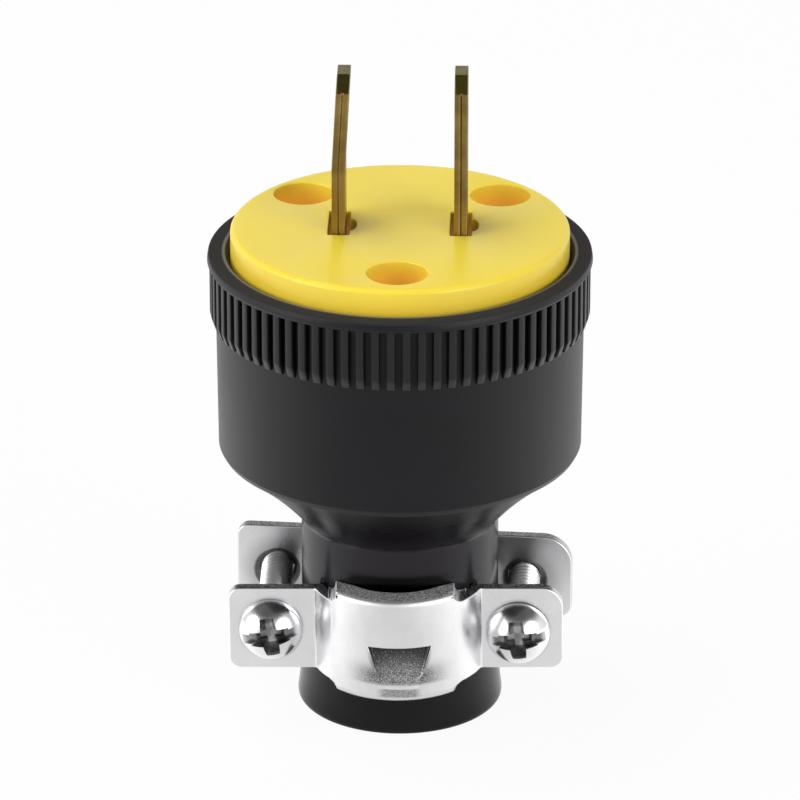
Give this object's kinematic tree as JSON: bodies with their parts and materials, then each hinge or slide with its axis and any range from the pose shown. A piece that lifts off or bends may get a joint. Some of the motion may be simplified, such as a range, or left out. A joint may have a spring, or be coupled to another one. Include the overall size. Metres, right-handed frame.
{
  "type": "straight blade plug",
  "caption": "Straight blade plug: flat brass blades on a yellow face, a ribbed black rubber housing and a screwed cord clamp round its neck.",
  "frame": {"origin": "centre of the cord end's bottom face, which the plug stands on", "axes": "+Z along the plug's axis towards the blades, the blades spaced along X, the clamp screws' heads towards -Y"},
  "size_m": [0.0402, 0.0402, 0.0708],
  "materials": {
    "black_rubber": "satin moulded rubber",
    "yellow_face": "moulded yellow plastic",
    "carrier_plastic": "moulded black plastic",
    "blade_brass": "folded brass strip",
    "terminal_brass": "turned brass",
    "terminal_plating": "nickel plate",
    "inner_screw_steel": "plated steel",
    "strap_zinc": "bright zinc plated stamping",
    "screw_plating": "bright plated screw"
  },
  "bodies": {
    "root": {"rubber_body": "black_rubber", "face_insert": "yellow_face", "terminal_carrier": "carrier_plastic", "blade_line": "blade_brass", "blade_neutral": "blade_brass", "terminal_screw_line": "terminal_brass", "terminal_screw_neutral": "terminal_plating", "wire_plate_line": "terminal_brass", "wire_plate_neutral": "terminal_plating", "assembly_screw_front": "inner_screw_steel", "assembly_screw_left": "inner_screw_steel", "assembly_screw_right": "inner_screw_steel", "front_clamp_strap": "strap_zinc", "rear_clamp_strap": "strap_zinc", "clamp_screw_left": "screw_plating", "clamp_screw_right": "screw_plating"}
  },
  "joints": []
}
